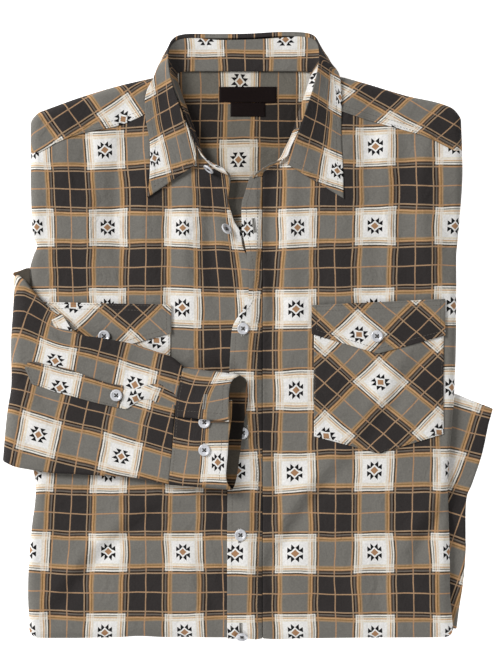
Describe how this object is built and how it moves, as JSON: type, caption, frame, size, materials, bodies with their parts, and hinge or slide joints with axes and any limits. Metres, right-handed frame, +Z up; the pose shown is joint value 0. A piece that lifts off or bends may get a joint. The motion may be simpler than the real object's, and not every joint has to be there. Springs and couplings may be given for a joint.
{
  "type": "folded long-sleeved checked shirt with sewn buttons",
  "caption": "Folded long-sleeved checked shirt with an open collar, flapped chest pockets and one sleeve brought across the front.",
  "frame": {"origin": "centre of the folded shirt in plan, on the surface that it lies on", "axes": "+X to the wearer's left, +Y toward the collar, +Z up out of the front"},
  "size_m": [0.4666, 0.5799, 0.0343],
  "materials": {
    "checked_cotton": "soft matt cotton twill in a charcoal, grey, white and tan check",
    "checked_cotton_inside": "the inside of the same cotton, a little duller",
    "woven_label": "fine black satin weave, bare",
    "shirt_button": "pearly white resin, polished"
  },
  "bodies": {
    "root": {"hidden_layers": "checked_cotton_inside", "back_yoke_inside": "checked_cotton_inside", "front_right": "checked_cotton", "front_left": "checked_cotton", "yoke_right": "checked_cotton", "yoke_left": "checked_cotton", "front_placket": "checked_cotton", "collar_fall": "checked_cotton", "collar_stand": "checked_cotton", "neck_label": "woven_label", "size_label": "woven_label", "pocket_right": "checked_cotton", "pocket_left": "checked_cotton", "pocket_flap_right": "checked_cotton", "pocket_flap_left": "checked_cotton", "sleeve_right": "checked_cotton", "sleeve_placket": "checked_cotton", "cuff": "checked_cotton", "sleeve_left": "checked_cotton", "button_front_1": "shirt_button", "button_front_2": "shirt_button", "button_front_3": "shirt_button", "button_front_4": "shirt_button", "button_front_5": "shirt_button", "button_pocket_right": "shirt_button", "button_pocket_left": "shirt_button", "button_sleeve": "shirt_button", "button_cuff_1": "shirt_button", "button_cuff_2": "shirt_button"}
  },
  "joints": []
}
